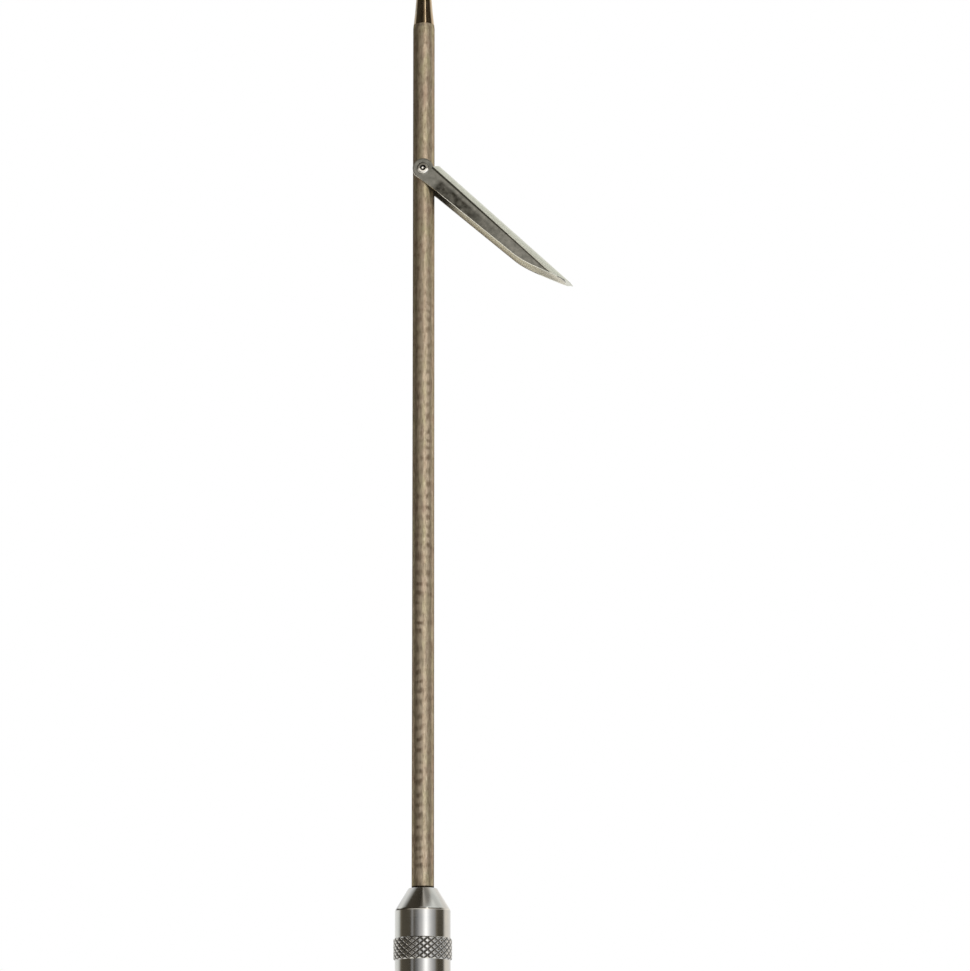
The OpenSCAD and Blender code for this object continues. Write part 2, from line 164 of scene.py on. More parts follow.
# %% The rings of the studio
NEUTRAL, CARD, CREAM, PALE = (1, 1, 1), (1, 0.87, 0.64), (1, 0.94, 0.84), (0.99, 1, 0.95)
AT_THE_LENS = [
    (-180, 1.0, NEUTRAL), (-124, 1.0, PALE), (-111, 0.72, PALE), (-100, 0.2, CARD), (-90, 0.11, CARD),
    (-49, 0.08, CARD), (-41, 0.36, NEUTRAL), (-33, 0.1, CARD), (-26, 0.16, NEUTRAL),
    (-19, 0.25, NEUTRAL), (-10, 0.52, NEUTRAL), (0, 0.76, NEUTRAL), (8, 1.3, NEUTRAL),
    (15, 1.8, NEUTRAL), (20, 1.7, NEUTRAL), (26, 1.3, NEUTRAL), (34, 0.9, NEUTRAL),
    (43, 0.63, NEUTRAL), (52, 0.44, NEUTRAL), (62, 0.18, CARD), (70, 0.09, CARD), (93, 0.09, CARD),
    (98, 0.25, CREAM), (106, 0.8, CREAM), (114, 1.0, CREAM), (180, 1.0, NEUTRAL),
]
ACROSS_THE_SHAFT = [
    (-180, 1.0, NEUTRAL), (-152, 0.9, NEUTRAL), (-142, 0.1, CARD), (-122, 0.06, CARD), (-80, 0.06, CARD),
    (-70, 0.12, CARD), (-60, 0.35, CARD), (-49, 0.6, CREAM), (-38, 0.75, CREAM), (-27, 0.85, CREAM),
    (-15, 0.9, CREAM), (-5, 0.98, CREAM), (4, 1.15, CREAM), (12, 1.6, CREAM), (25, 1.65, CREAM),
    (34, 1.05, CREAM), (47, 0.82, CREAM), (59, 0.66, CREAM), (71, 0.52, CREAM), (85, 0.45, CREAM),
    (97, 0.62, CREAM), (110, 1.0, CREAM), (125, 1.25, CREAM), (150, 1.2, CREAM), (180, 1.0, NEUTRAL),
]
OVER_THE_LENS = [
    (-180, 1.0, NEUTRAL), (-125, 1.0, PALE), (-112, 0.6, PALE), (-100, 0.06, CARD), (-30, 0.03, CARD),
    (-8, 0.04, CARD), (2, 0.14, CARD), (12, 0.38, CARD), (18, 0.55, CREAM), (21, 2.4, CREAM),
    (25, 2.4, CREAM), (27, 0.3, CREAM), (30, 0.06, CARD), (92, 0.04, CARD), (104, 0.5, CREAM),
    (118, 1.0, CREAM), (180, 1.0, NEUTRAL),
]
OVER_THE_BOX = [
    (-180, 1.0, NEUTRAL), (-130, 0.95, NEUTRAL), (-112, 0.5, PALE), (-98, 0.07, CARD), (-20, 0.06, CARD),
    (0, 0.4, CREAM), (18, 0.5, NEUTRAL), (30, 1.0, PALE), (80, 1.0, PALE), (97, 0.75, PALE),
    (112, 0.8, PALE), (125, 1.0, PALE), (180, 1.0, NEUTRAL),
]
NEAR_THE_CEILING = [
    (-180, 1.0, NEUTRAL), (-130, 0.95, NEUTRAL), (-112, 0.5, PALE), (-98, 0.07, CARD), (-20, 0.045, CARD),
    (0, 0.12, CARD), (9, 0.55, CREAM), (20, 0.6, CREAM), (32, 0.4, CREAM), (50, 0.3, CREAM),
    (85, 0.32, CREAM), (105, 0.6, CREAM), (125, 0.95, PALE), (180, 1.0, NEUTRAL),
]
BELOW_THE_LENS = [
    (-180, 1.0, NEUTRAL), (-78, 0.95, CREAM), (-62, 0.3, CREAM), (-52, 0.08, CARD), (-22, 0.08, CARD),
    (-5, 0.4, CREAM), (10, 0.9, NEUTRAL), (70, 0.8, NEUTRAL), (100, 0.7, NEUTRAL), (115, 0.9, NEUTRAL),
    (180, 1.0, NEUTRAL),
]
BRIGHTEST = 2.4
FLOOR_LIGHT = (0.5, 0.49, 0.44, 1)
RINGS = [
    (9, 14, ACROSS_THE_SHAFT),
    (20, 26, OVER_THE_LENS),
    (35, 42, OVER_THE_BOX),
    (60, 68, NEAR_THE_CEILING),
    (-3, -9, BELOW_THE_LENS),
]
print("rings of the studio:", 1 + len(RINGS))

# %% [markdown]
# The sky knows only the direction that a ray goes in. Two numbers are made of it: the angle round
# the spear, which finds the place on a ring, and the height, which picks the ring.

# %% The direction of a ray
world = bpy.data.worlds.new("studio")
world.use_nodes = True
bpy.context.scene.world = world
sky = world.node_tree
sky.nodes.clear()
ray = add(sky, "ShaderNodeTexCoord").outputs["Generated"]
direction = add(sky, "ShaderNodeSeparateXYZ", {0: ray}).outputs
toward_lens = product(sky, direction["Y"], -1.0)
angle = add(sky, "ShaderNodeMath", {0: direction["X"], 1: toward_lens}, operation="ARCTAN2").outputs[0]
around = spread(sky, angle, 0.0, 1.0, -math.pi, math.pi)


def ring_of_light(strengths):
    """The studio all round at one height."""
    stops = [(0.5 + degrees / 360, [strength / BRIGHTEST * part for part in tint])
             for degrees, strength, tint in strengths]
    return shades(sky, around, stops)


def rising(low, high):
    """How far a ray has risen from one height in degrees to another."""
    start, end = math.sin(math.radians(low)), math.sin(math.radians(high))
    return spread(sky, direction["Z"], 0.0, 1.0, start, end)


print("nodes for the direction:", len(sky.nodes))

# %% [markdown]
# Now the rings are laid over each other. Steeply downwards there is only the dim light of the
# floor. The camera sees plain white behind the spear, and all rays that are not glossy get an
# even, softer white, which fills the shadows of matt surfaces.

# %% The sky
WHITE, SOFT_STRENGTH, FULL_STRENGTH = (1, 1, 1, 1), 0.38, 1.0


def shining(colour, strength):
    """One look of the sky."""
    return add(sky, "ShaderNodeBackground", {"Color": colour, "Strength": strength}).outputs[0]


def either(amount, first, second):
    """The first look of the sky, or the second where the amount is 1."""
    return add(sky, "ShaderNodeMixShader", {0: amount, 1: first, 2: second}).outputs[0]


studio = ring_of_light(AT_THE_LENS)
for low, high, ring in RINGS:
    studio = blend(sky, rising(low, high), studio, ring_of_light(ring))
studio = blend(sky, rising(-50, -70), studio, FLOOR_LIGHT)
rays = add(sky, "ShaderNodeLightPath").outputs
gloss_or_glass = {0: rays["Is Glossy Ray"], 1: rays["Is Transmission Ray"]}
glossy = add(sky, "ShaderNodeMath", gloss_or_glass, operation="MAXIMUM").outputs[0]
mirrored = either(glossy, shining(WHITE, SOFT_STRENGTH), shining(studio, BRIGHTEST))
seen = either(rays["Is Camera Ray"], mirrored, shining(WHITE, FULL_STRENGTH))
add(sky, "ShaderNodeOutputWorld", {"Surface": seen})
print("nodes in the sky:", len(sky.nodes))

# %% [markdown]
# One soft box above on the right gives matt surfaces a lighter side and lays a soft shadow on the
# floor. Mirrors already see a box in the sky above, so the lamp is kept out of reflections.

# %% The soft box
BOX_DISTANCE, BOX_ANGLE, BOX_HEIGHT = 2.2, math.radians(48), math.radians(42)
BOX_WIDTH, BOX_LENGTH, BOX_POWER = 0.9, 1.3, 58
SPEAR_MIDDLE = Vector((0, 0, 0.6))
lamp_data = bpy.data.lights.new("soft_box", "AREA")
lamp_data.shape = "RECTANGLE"
lamp_data.size = BOX_WIDTH
lamp_data.size_y = BOX_LENGTH
lamp_data.energy = BOX_POWER
lamp = bpy.data.objects.new("soft_box", lamp_data)
bpy.context.scene.collection.objects.link(lamp)
straight_ahead = Vector((0, -math.cos(BOX_HEIGHT), math.sin(BOX_HEIGHT)))
to_box = Matrix.Rotation(BOX_ANGLE, 3, "Z") @ straight_ahead
lamp.location = SPEAR_MIDDLE + BOX_DISTANCE * to_box
lamp.rotation_euler = to_box.to_track_quat("Z", "Y").to_euler()
lamp.visible_glossy = False
print("soft box at", [round(x, 2) for x in lamp.location])

# %% [markdown]
# The floor is a round sheet of pale matt paper under the butt. It fades out from half a metre to
# its rim, so that no edge shows against the white behind it. It is not attached to any of the
# spear's bodies.

# %% The floor
FLOOR_R, FADE_FROM_R = 1.6, 0.5
floor_mesh = bmesh.new()
bmesh.ops.create_circle(floor_mesh, cap_ends=True, segments=128, radius=FLOOR_R)
floor_data = bpy.data.meshes.new("floor")
floor_mesh.to_mesh(floor_data)
floor_mesh.free()
floor = bpy.data.objects.new("floor", floor_data)
bpy.context.scene.collection.objects.link(floor)
floor.visible_glossy = False

paper = bpy.data.materials.new("floor_paper")
paper.use_nodes = True
net = paper.node_tree
paper_shader = net.nodes["Principled BSDF"]
paper_shader.inputs["Base Color"].default_value = (0.82, 0.82, 0.815, 1)
paper_shader.inputs["Roughness"].default_value = 0.9
paper_shader.inputs["Specular IOR Level"].default_value = 0.0
on_floor = add(net, "ShaderNodeTexCoord").outputs["Object"]
from_middle = add(net, "ShaderNodeVectorMath", {0: on_floor}, operation="LENGTH").outputs["Value"]
net.links.new(spread(net, from_middle, 1.0, 0.0, FADE_FROM_R, FLOOR_R), paper_shader.inputs["Alpha"])
floor_data.materials.append(paper)
print("floor radius", FLOOR_R)

# %% [markdown]
# Every finish starts in the same way: a metal, or a plastic or rubber, with its colour, its
# roughness and a fine relief wired in. `start_finish` gives the net and its shader, and `surface`
# wires the three. Relief is given in millimetres, so it has a real depth. `pattern` makes noise
# whose spots have a size in millimetres too. It is laid on Object coordinates, which stay with the
# piece when it moves.

# %% Helpers for finishes
def start_finish(name, metallic=1.0):
    """A new material, returned with its net and its principled shader."""
    material = bpy.data.materials.new(name)
    material.use_nodes = True
    shader = material.node_tree.nodes["Principled BSDF"]
    shader.inputs["Metallic"].default_value = metallic
    return material, material.node_tree, shader


def surface(tree, shader, colour, rough, relief, depth):
    """Wires a colour, a roughness and a relief of some depth in millimetres."""
    tree.links.new(colour, shader.inputs["Base Color"])
    tree.links.new(rough, shader.inputs["Roughness"])
    bumped = add(tree, "ShaderNodeBump", {"Height": relief, "Distance": depth * MM, "Strength": 1.0})
    tree.links.new(bumped.outputs[0], shader.inputs["Normal"])


def pattern(tree, size, stretch=(1, 1, 1), detail=3.0, rough=0.55, shift=0.0):
    """Noise with spots about `size` millimetres wide, drawn out by `stretch` along X, Y and Z."""
    place = add(tree, "ShaderNodeTexCoord").outputs["Object"]
    scale = [1 / (size * MM * s) for s in stretch]
    laid = {"Vector": place, "Location": (shift, shift, shift), "Scale": scale}
    mapped = add(tree, "ShaderNodeMapping", laid).outputs[0]
    settings = {"Vector": mapped, "Scale": 1.0, "Detail": detail, "Roughness": rough}
    return add(tree, "ShaderNodeTexNoise", settings).outputs["Fac"]


# %% [markdown]
# The front shaft is spring steel, tempered until it turned bronze brown and then left matt. Close
# up it is mottled: light and dark specks of a millimetre or less, longer stains, and faint lines
# along the bar from drawing. Three noises of different size and stretch are mixed for that.

# %% The mottle of the shaft
STAIN_TINTS = [(0.3, (0.42, 0.32, 0.24)), (0.5, (0.46, 0.38, 0.275)), (0.7, (0.45, 0.4, 0.26))]
DARK_SPECK, LIGHT_SPECK, DRAWN_LINE = (0.19, 0.13, 0.09, 1), (0.7, 0.62, 0.5, 1), (0.55, 0.48, 0.36, 1)


def shaft_mottle(tree, specks, stains):
    """The bar's bronze brown, stained, speckled and finely lined."""
    lines = pattern(tree, 0.3, (1, 1, 60), detail=2, shift=3)
    tint = shades(tree, stains, STAIN_TINTS)
    darker = blend(tree, spread(tree, specks, 0.65, 0.0, 0.34, 0.5), tint, DARK_SPECK)
    lighter = blend(tree, spread(tree, specks, 0.0, 0.6, 0.56, 0.7), darker, LIGHT_SPECK)
    return blend(tree, spread(tree, lines, 0.0, 0.2, 0.45, 0.7), lighter, DRAWN_LINE)


print("stain tints:", len(STAIN_TINTS))

# %% [markdown]
# Such a bar is straightened between slanting rolls, which leave a dark mark every few millimetres.
# A wave texture makes them, bent by its own noise so that no two are alike, and the stains soften
# them. They show in two windows, most on the left low down and on the right higher up: a `window`
# is a product of fades, so its borders are soft.

# %% The marks of the straightening rolls
ROLL_PITCH = 4.0
WAVES_A_UNIT = 20 / (2 * math.pi)
MARK_BROWNS = [(0.25, (0.66, 0.55, 0.42)), (0.6, (0.46, 0.37, 0.27)), (0.93, (0.22, 0.16, 0.11))]
SOFTENED_MARK = (0.56, 0.47, 0.35, 1)
LEFT_MARKS = [("X", 0.0, 0.85, -2.8, -1.9), ("X", 1.0, 0.1, -0.7, 0.4),
              ("Z", 1.0, 0.35, 960, 985), ("Z", 1.0, 0.0, 1060, 1100)]
RIGHT_MARKS = [("X", 0.0, 0.65, 0.9, 1.4), ("X", 1.0, 0.0, 2.2, 2.8),
               ("Z", 0.0, 1.0, 955, 975), ("Z", 1.0, 0.0, 1060, 1100)]


def window(tree, place, fades):
    """Where something shows: the product of fades, each from one amount to another between two
    places in millimetres along one axis."""
    return product(tree, *[spread(tree, place[axis], low, high, start * MM, end * MM)
                           for axis, low, high, start, end in fades])


def roll_marks(tree, place, stains):
    """Light and dark bands across the bar."""
    bent = {"Vector": place, "Scale": 1 / (WAVES_A_UNIT * ROLL_PITCH * MM),
            "Distortion": 8.0, "Detail": 3.0, "Detail Scale": 0.9}
    rolled = add(tree, "ShaderNodeTexWave", bent, wave_type="BANDS", bands_direction="Z", wave_profile="SIN")
    marks = shades(tree, rolled.outputs["Fac"], MARK_BROWNS)
    return blend(tree, spread(tree, stains, 0.0, 0.7, 0.42, 0.62), marks, SOFTENED_MARK)


print("a roll mark every", ROLL_PITCH, "mm")

# %% [markdown]
# The shaft's finish lays the marks over the mottle, and paints a dark line of shade where the bar
# goes into the adapter. The specks change the roughness too, so that the gloss breaks up as well
# as the colour, and a coarser noise gives the bar its slightly wavy skin.

# %% Tempered shaft steel
SEAT_LINE = ("Z", 1.0, 0.0, NOSE_Z + 0.5, NOSE_Z + 0.9)
SEAT_SHADE = (0.02, 0.015, 0.01, 1)


def shaft_finish():
    material, tree, shader = start_finish("tempered_shaft", metallic=0.9)
    shader.inputs["Specular Tint"].default_value = (0.05, 0.045, 0.04, 1)
    place = add(tree, "ShaderNodeTexCoord").outputs["Object"]
    on_shaft = add(tree, "ShaderNodeSeparateXYZ", {0: place}).outputs
    specks = pattern(tree, 1.0, (1, 1, 2.5), detail=6, rough=0.7)
    stains = pattern(tree, 3, (1, 1, 2.5), detail=3, shift=7)
    waves = pattern(tree, 1.5, (1, 1, 2.5), detail=1, shift=13)
    colour = shaft_mottle(tree, specks, stains)
    marks = roll_marks(tree, place, stains)
    for side in (LEFT_MARKS, RIGHT_MARKS):
        colour = blend(tree, window(tree, on_shaft, side), colour, marks)
    # Painted shade: a dark line on the bar where it goes into the adapter.
    colour = blend(tree, window(tree, on_shaft, [SEAT_LINE]), colour, SEAT_SHADE)
    surface(tree, shader, colour, spread(tree, specks, 0.38, 0.3), waves, 0.2)
    return material


shaft_steel = shaft_finish()
print("shaft:", len(shaft_steel.node_tree.nodes), "nodes")

# %% [markdown]
# The point is the same steel, hardened darker and polished. It mirrors the dark cards almost
# black, with one cream streak where it mirrors the soft box. A thin oxide tints it unevenly, and
# fine scratches run along it.

# %% Polished point steel
OXIDE_TINTS = [(0.3, (0.42, 0.3, 0.2)), (0.55, (0.55, 0.44, 0.31)), (0.75, (0.5, 0.45, 0.36))]


def point_finish():
    material, tree, shader = start_finish("polished_point")
    oxide = pattern(tree, 3, (1, 1, 2), detail=3, shift=11)
    scratches = pattern(tree, 0.15, (1, 1, 25), detail=2)
    colour = shades(tree, oxide, OXIDE_TINTS)
    surface(tree, shader, colour, spread(tree, scratches, 0.08, 0.15), scratches, 0.001)
    return material


point_steel = point_finish()
print("point:", len(point_steel.node_tree.nodes), "nodes")

# %% [markdown]
# The barb is stainless sheet, cut, bent in a press and tumbled. Its flat cheeks have a grey,
# blotched tone, painted darker as shade, and a dark stain behind the ears; its back and bends are
# painted lighter as light. The cheeks face along the rivet, so the surface's own direction tells
# flat sheet from bend. Places are given in the barb's own directions: Z falls from 0 at the rivet
# to -70 mm at the tip, and X rises from the open side to the back.

# %% The outside of the barb
SHADED_SHEET_GREYS = [(0.3, (0.22, 0.22, 0.195)), (0.55, (0.31, 0.305, 0.275)), (0.75, (0.39, 0.38, 0.345))]
STAIN_BROWNS = [(0.35, (0.025, 0.023, 0.017)), (0.55, (0.05, 0.046, 0.036)), (0.75, (0.12, 0.115, 0.095))]
LIT_BEND_GREYS = [(0.3, (0.66, 0.67, 0.6)), (0.7, (0.79, 0.79, 0.71))]
EAR_SHADOW, CREASE_SHADE = (0.05, 0.046, 0.038, 1), (0.06, 0.058, 0.048, 1)
STAINED = [("Z", 0.0, 1.0, -7, -9), ("Z", 0.0, 1.0, -41, -20), ("X", 1.0, 0.0, 0.5, 1.4)]
ON_THE_EAR = [("Z", 0.0, 0.8, -1.0, 0.5)]


def from_rivet_axis(tree, laid):
    """The distance from the rivet's axis."""
    level = add(tree, "ShaderNodeVectorMath", {0: laid, 1: (1, 0, 1)}, operation="MULTIPLY").outputs[0]
    return add(tree, "ShaderNodeVectorMath", {0: level}, operation="LENGTH").outputs["Value"]


def barb_outside(tree, laid, on_barb, flat, blotches):
    """Grey stained cheeks painted darker as shade, painted shade at the ear and crease, bends painted light.
    """
    marks = pattern(tree, 3, (1, 1, 1), detail=4, shift=5)
    scuffs = pattern(tree, 0.25, (8, 1, 1), detail=2, shift=9)
    stain = product(tree, window(tree, on_barb, STAINED), spread(tree, marks, 1.0, 0.65, 0.42, 0.6))
    # The cheeks' grey is painted darker than the sheet as shade, on top of its blotches and stain.
    shaded_sheet = blend(tree, stain, shades(tree, blotches, SHADED_SHEET_GREYS), shades(tree, blotches, STAIN_BROWNS))
    at_rim = spread(tree, from_rivet_axis(tree, laid), 0.0, 1.0, 3.2 * MM, 3.8 * MM)
    # Painted shadow: a dark rim round the ear's edge, for the shade between ear and shaft.
    shaded_sheet = blend(tree, product(tree, at_rim, window(tree, on_barb, ON_THE_EAR)), shaded_sheet, EAR_SHADOW)
    # Painted shade: a dark line where the flat cheek starts to bend.
    shaded_sheet = blend(tree, spread(tree, flat, 1.0, 0.0, 0.990, 0.9985), shaded_sheet, CREASE_SHADE)
    cheek_end = spread(tree, on_barb["Z"], 0.985, 0.945, -60 * MM, -10 * MM)
    past_end = add(tree, "ShaderNodeMath", {0: flat, 1: cheek_end}, operation="SUBTRACT").outputs[0]
    # Painted light: the back and bends, told from the cheeks by which way they face, are lighter.
    lit_bend = shades(tree, scuffs, LIT_BEND_GREYS)
    return blend(tree, spread(tree, past_end, 0.0, 1.0, -0.012, 0.0), lit_bend, shaded_sheet)


print("the stain covers", STAINED[0][-1], "to", STAINED[1][-2], "mm from the rivet")

# %% [markdown]
# Inside, the channel is painted pale, as light, and browner along its free edges. It is painted
# dark as shade in the near corner by the tip and close to the ears, where little light gets in.

# %% The inside of the barb
LINING_EDGE, LIT_LINING, LINING_CORNER_SHADE = (0.5, 0.44, 0.34, 1), (1.0, 0.96, 0.82, 1), (0.04, 0.032, 0.02, 1)
LINING_SHADE_BY_EARS = (0.1, 0.09, 0.07, 1)
EDGE_SLOPE = 0.0396
NEAR_CORNER = [("Y", 1.0, 0.0, -1.6, 0.6), ("Z", 1.0, 0.0, -56, -53)]
BY_THE_EARS = [("Z", 0.0, 1.0, -19, -13)]


def barb_inside(tree, on_barb):
    """The channel's lining, painted pale as light. Its free edges lean by `EDGE_SLOPE` along the barb."""
    leaning = {0: on_barb["Z"], 1: EDGE_SLOPE, 2: on_barb["X"]}
    from_edge = add(tree, "ShaderNodeMath", leaning, operation="MULTIPLY_ADD").outputs[0]
    lining = blend(tree, spread(tree, from_edge, 0.0, 1.0, -3.1 * MM, -2.2 * MM), LINING_EDGE, LIT_LINING)
    # Painted shade in the near corner by the tip and close to the ears.
    lining = blend(tree, window(tree, on_barb, NEAR_CORNER), lining, LINING_CORNER_SHADE)
    return blend(tree, window(tree, on_barb, BY_THE_EARS), lining, LINING_SHADE_BY_EARS)


print("the lining's edges lean by", EDGE_SLOPE)

# %% [markdown]
# Three amounts that the barb's mesh carries say which finish a face gets: `inside` for the
# channel's lining, another for the rounded edges and the free rim of the near cheek, which are
# painted bright as a highlight, and `shaded` for the rim of the far cheek, painted dark as shade.

# %% Bent barb sheet
BARB_HIGHLIGHT, SHADED_BARB = (0.98, 0.95, 0.83, 1), (0.08, 0.065, 0.04, 1)


def carried(tree, name):
    """An amount that the mesh carries under this name."""
    return add(tree, "ShaderNodeAttribute", attribute_name=name).outputs["Fac"]


def barb_finish():
    material, tree, shader = start_finish("barb_sheet")
    coordinates = add(tree, "ShaderNodeTexCoord").outputs
    along_barb = {"Vector": coordinates["Object"], "Location": (0, 0, RIVET_Z * MM),
                  "Rotation": (0, -BARB_ANGLE, 0)}
    laid = add(tree, "ShaderNodeMapping", along_barb, vector_type="TEXTURE").outputs[0]
    on_barb = add(tree, "ShaderNodeSeparateXYZ", {0: laid}).outputs
    facing = add(tree, "ShaderNodeSeparateXYZ", {0: coordinates["Normal"]}).outputs["Y"]
    flat = add(tree, "ShaderNodeMath", {0: facing}, operation="ABSOLUTE").outputs[0]
    blotches = pattern(tree, 1.2, (1.6, 1, 1.6), detail=5, rough=0.7)
    inside = carried(tree, "inside")
    outer = barb_outside(tree, laid, on_barb, flat, blotches)
    colour = blend(tree, inside, outer, barb_inside(tree, on_barb))
    # Painted highlight: the broken edges and the near cheek's free rim turn near white.
    colour = blend(tree, carried(tree, "painted_highlight"), colour, BARB_HIGHLIGHT)
    # Painted shade on the far cheek's free rim.
    colour = blend(tree, carried(tree, "shaded"), colour, SHADED_BARB)
    tree.links.new(spread(tree, inside, 1.0, 0.15, 0.0, 1.0), shader.inputs["Metallic"])
    surface(tree, shader, colour, spread(tree, blotches, 0.46, 0.34), blotches, 0.01)
    return material


barb_steel = barb_finish()
print("barb:", len(barb_steel.node_tree.nodes), "nodes")

# %% [markdown]
# The rivet was hammered over. It is darker than the sheet, painted dark as shade in its dishes,
# and painted bright as a highlight on the dishes' bottoms and the lower side of each head's rim.

# %% Rivet steel
RIVET_HIGHLIGHT, RIVET_DISH_SHADE = (0.95, 0.93, 0.88, 1), (0.02, 0.018, 0.015, 1)


def rivet_finish():
    material, tree, shader = start_finish("rivet_steel")
    dents = pattern(tree, 0.5, detail=4)
    colour = shades(tree, dents, [(0.3, (0.16, 0.155, 0.14)), (0.7, (0.34, 0.33, 0.3))])
    # Painted highlight on the dish's bottom and the lower side of the head's rim.
    colour = blend(tree, carried(tree, "painted_highlight"), colour, RIVET_HIGHLIGHT)
    # Painted shade in the rest of the dish.
    colour = blend(tree, carried(tree, "recess_shade"), colour, RIVET_DISH_SHADE)
    surface(tree, shader, colour, spread(tree, dents, 0.3, 0.18), dents, 0.01)
    return material


rivet_steel = rivet_finish()
print("rivet:", len(rivet_steel.node_tree.nodes), "nodes")

# %% [markdown]
# The adapter and the tube fittings are turned from stainless bar and polished in the lathe. What
# is left of the tool are rings finer than a tenth of a millimetre: noise that changes quickly
# along the axis and hardly at all round it. They show as a faint sheen across the bright band.
# The knurl's grooves are marked on its mesh: there the steel is painted dark as shade and duller.

# %% Turned stainless steel
RING_GREY, KNURL_SHADE = (0.42, 0.42, 0.41, 1), (0.07, 0.06, 0.05, 1)
DULLED_IN_GROOVES = 0.45


def turned_finish(name="turned_steel", base=0.61):
    material, tree, shader = start_finish(name)
    rings = pattern(tree, 0.12, (60, 60, 1), detail=2)
    cloud = pattern(tree, 4, detail=3, shift=2)
    warm, cool = (base, base * 0.985, base * 0.955), (base * 0.93, base * 0.93, base * 0.92)
    colour = shades(tree, cloud, [(0.35, warm), (0.65, cool)])
    colour = blend(tree, spread(tree, rings, 0.0, 0.12, 0.5, 0.8), colour, RING_GREY)
    # Painted shade in the knurl's grooves, where the steel is also made duller.
    recess_shade = carried(tree, "recess_shade")
    colour = blend(tree, recess_shade, colour, KNURL_SHADE)
    dulled = {0: recess_shade, 1: DULLED_IN_GROOVES, 2: spread(tree, rings, 0.09, 0.16)}
    rough = add(tree, "ShaderNodeMath", dulled, operation="MULTIPLY_ADD").outputs[0]
    surface(tree, shader, colour, rough, rings, 0.0008)
    return material


turned_steel = turned_finish()
bush_steel = turned_finish("bush_steel", 0.56)
print("turned steel:", len(turned_steel.node_tree.nodes), "nodes")

# %% [markdown]
# The pole's tubes are drawn aluminium with a clear satin anodised skin: no mirror, but a broad
# soft highlight, with faint lines along the tube and a very slight unevenness of grey.

# %% Anodised tube
def tube_finish():
    material, tree, shader = start_finish("anodised_tube")
    lines = pattern(tree, 0.2, (1, 1, 90), detail=2)
    cloud = pattern(tree, 9, (1, 1, 3), detail=3, shift=4)
    grain = pattern(tree, 0.12, detail=2, shift=8)
    colour = shades(tree, cloud, [(0.35, (0.57, 0.58, 0.59)), (0.65, (0.63, 0.635, 0.64))])
    colour = blend(tree, spread(tree, lines, 0.0, 0.2, 0.5, 0.75), colour, (0.5, 0.51, 0.52, 1))
    surface(tree, shader, colour, spread(tree, grain, 0.28, 0.36), grain, 0.003)
    return material


tube_aluminium = tube_finish()
print("tube:", len(tube_aluminium.node_tree.nodes), "nodes")

# %% [markdown]
# Three small finishes are left: bare spring pins, black rubber rings, and the butt, which is turned
# from black acetal and so has a satin skin with fine rings and a few grey scuffs at its end.

# %% Pins, rubber and the butt's plastic
def pin_finish():
    material, tree, shader = start_finish("spring_pin")
    grain = pattern(tree, 0.3, detail=4)
    colour = shades(tree, grain, [(0.3, (0.42, 0.41, 0.39)), (0.7, (0.58, 0.57, 0.55))])
    surface(tree, shader, colour, spread(tree, grain, 0.42, 0.28), grain, 0.006)
    return material


def rubber_finish():
    material, tree, shader = start_finish("ring_rubber", metallic=0.0)
    dust = pattern(tree, 0.6, detail=4)
    colour = shades(tree, dust, [(0.4, (0.022, 0.022, 0.023)), (0.75, (0.05, 0.049, 0.047))])
    surface(tree, shader, colour, spread(tree, dust, 0.5, 0.65), dust, 0.008)
    return material


def acetal_finish():
    material, tree, shader = start_finish("butt_acetal", metallic=0.0)
    rings = pattern(tree, 0.18, (50, 50, 1), detail=2)
    scuffs = pattern(tree, 1.5, (1, 1, 1), detail=6, rough=0.75, shift=6)
    place = add(tree, "ShaderNodeTexCoord").outputs["Object"]
    on_butt = add(tree, "ShaderNodeSeparateXYZ", {0: place}).outputs
    near_end = window(tree, on_butt, [("Z", 1.0, 0.0, 1, 6)])
    rubbed = product(tree, near_end, spread(tree, scuffs, 0.1, 0.8, 0.45, 0.65))
    colour = shades(tree, rings, [(0.35, (0.028, 0.029, 0.031)), (0.7, (0.042, 0.043, 0.045))])
    colour = blend(tree, rubbed, colour, (0.15, 0.15, 0.148, 1))
    surface(tree, shader, colour, spread(tree, rings, 0.36, 0.46), rings, 0.004)
    return material


pin_steel = pin_finish()
seal_rubber = rubber_finish()
butt_plastic = acetal_finish()
for material in (pin_steel, seal_rubber, butt_plastic):
    print(material.name, "has", len(material.node_tree.nodes), "nodes")

# %% [markdown]
# Most of the spear was made in a lathe, so most of it is made here in the same way: an outline of
# radius and height is spun round the axis. The outline keeps its corners sharp, and a narrow bevel
# can then break each one, as a file does on the lathe. Without it an edge catches no light.
# `finish` turns the mesh into a piece: it rides on its body, and stands for the part it replaces.

# %% Helpers for pieces
SMOOTH_BELOW = 30


def turn(outline, steps):
    """Spins an outline of (radius, height) points in millimetres, from the axis to the axis."""
    mesh = bmesh.new()
    points = [mesh.verts.new((r * MM, 0, z * MM)) for r, z in outline]
    for lower, upper in zip(points, points[1:]):
        mesh.edges.new((lower, upper))
    bmesh.ops.spin(mesh, geom=mesh.verts[:] + mesh.edges[:], cent=(0, 0, 0), axis=(0, 0, 1),
                   angle=2 * math.pi, steps=steps, use_merge=True, use_duplicate=False)
    bmesh.ops.remove_doubles(mesh, verts=mesh.verts, dist=0.0001 * MM)
    bmesh.ops.recalc_face_normals(mesh, faces=mesh.faces)
    return mesh


def break_edges(mesh, width, sharper_than=25, only=lambda edge: True, steps=2):
    """Bevels the corners and marks the new narrow faces, which the barb's finish paints bright as a
    highlight.
    """
    painted_highlight = mesh.faces.layers.float.get("painted_highlight") or mesh.faces.layers.float.new("painted_highlight")
    corners = [e for e in mesh.edges if len(e.link_faces) == 2
               and e.calc_face_angle() > math.radians(sharper_than) and only(e)]
    made = bmesh.ops.bevel(mesh, geom=corners, offset=width * MM, offset_type="OFFSET", segments=steps,
                           profile=0.5, affect="EDGES", clamp_overlap=True, material=-1)
    for face in made["faces"]:
        face[painted_highlight] = 1.0
    return len(corners)


